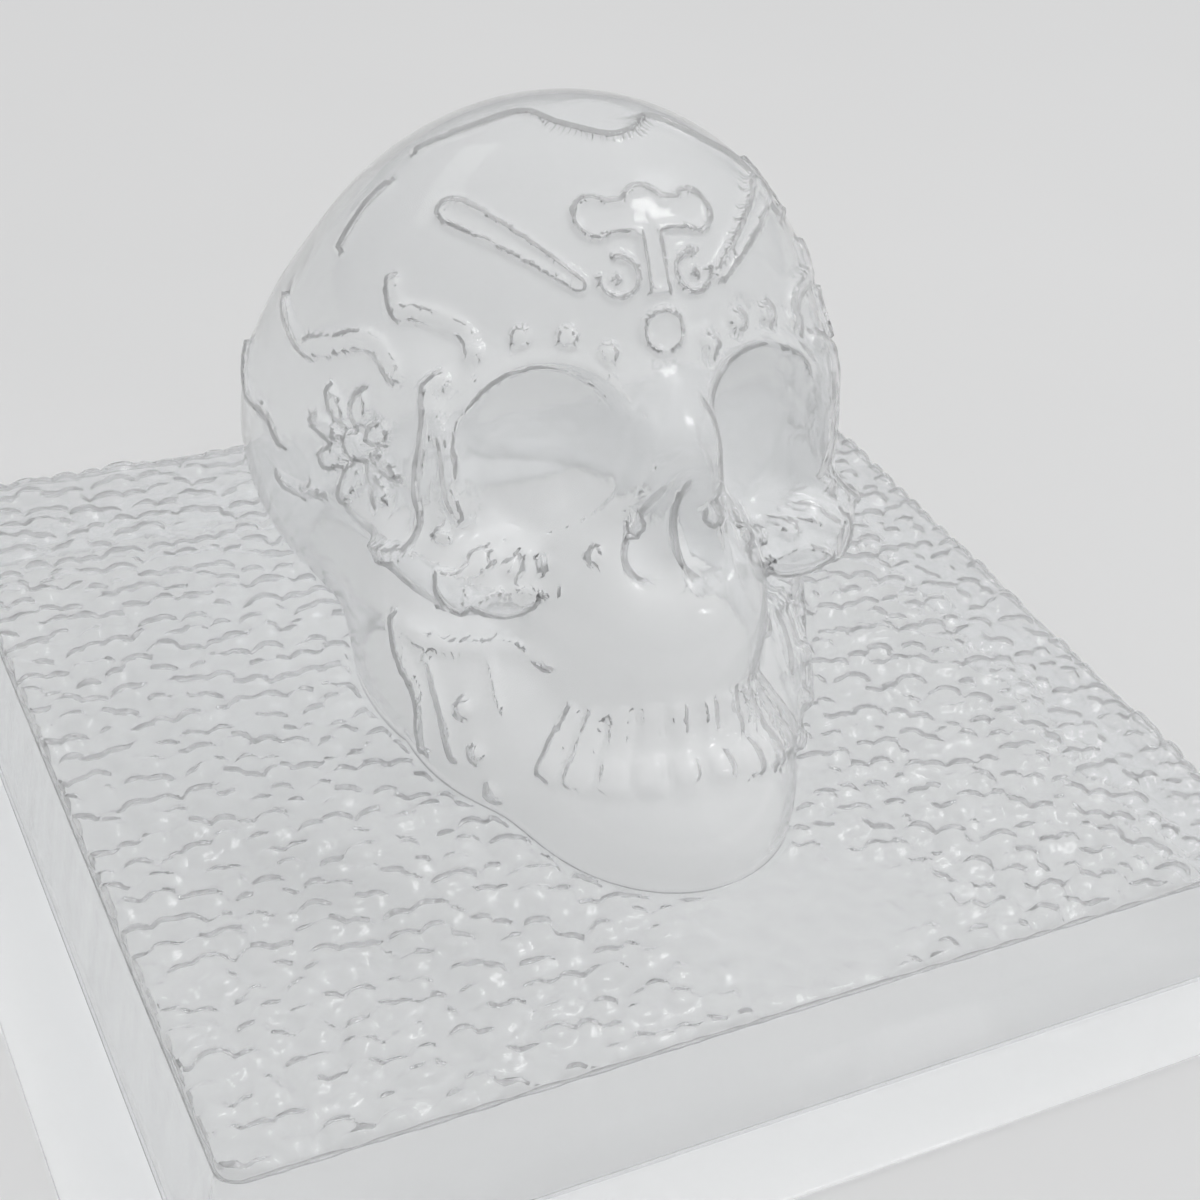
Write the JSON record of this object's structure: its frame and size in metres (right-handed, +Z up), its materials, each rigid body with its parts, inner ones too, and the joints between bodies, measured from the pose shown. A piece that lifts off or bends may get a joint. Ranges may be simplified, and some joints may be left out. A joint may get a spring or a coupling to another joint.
{
  "type": "sugar skull mould",
  "caption": "Clear thermoformed sugar skull mould: a hollow ornamented skull, open underneath, standing on a pebbled square tray with an outward flange.",
  "frame": {"origin": "on the table under the middle of the tray's outline", "axes": "+Z up out of the table, the skull's face towards -Y, +X to the skull's left along the tray's longer side"},
  "size_m": [0.236, 0.226, 0.1295],
  "materials": {
    "clear_sheet": "gloss"
  },
  "bodies": {
    "root": {"tray_flange": "clear_sheet", "tray_wall": "clear_sheet", "tray_deck": "clear_sheet", "skull_vault": "clear_sheet", "skull_face": "clear_sheet", "skull_jaw": "clear_sheet", "eye_socket_left": "clear_sheet", "eye_socket_right": "clear_sheet", "nose": "clear_sheet", "upper_teeth": "clear_sheet", "lower_teeth": "clear_sheet", "forehead_relief": "clear_sheet", "temple_flower_left": "clear_sheet", "temple_flower_right": "clear_sheet"}
  },
  "joints": []
}
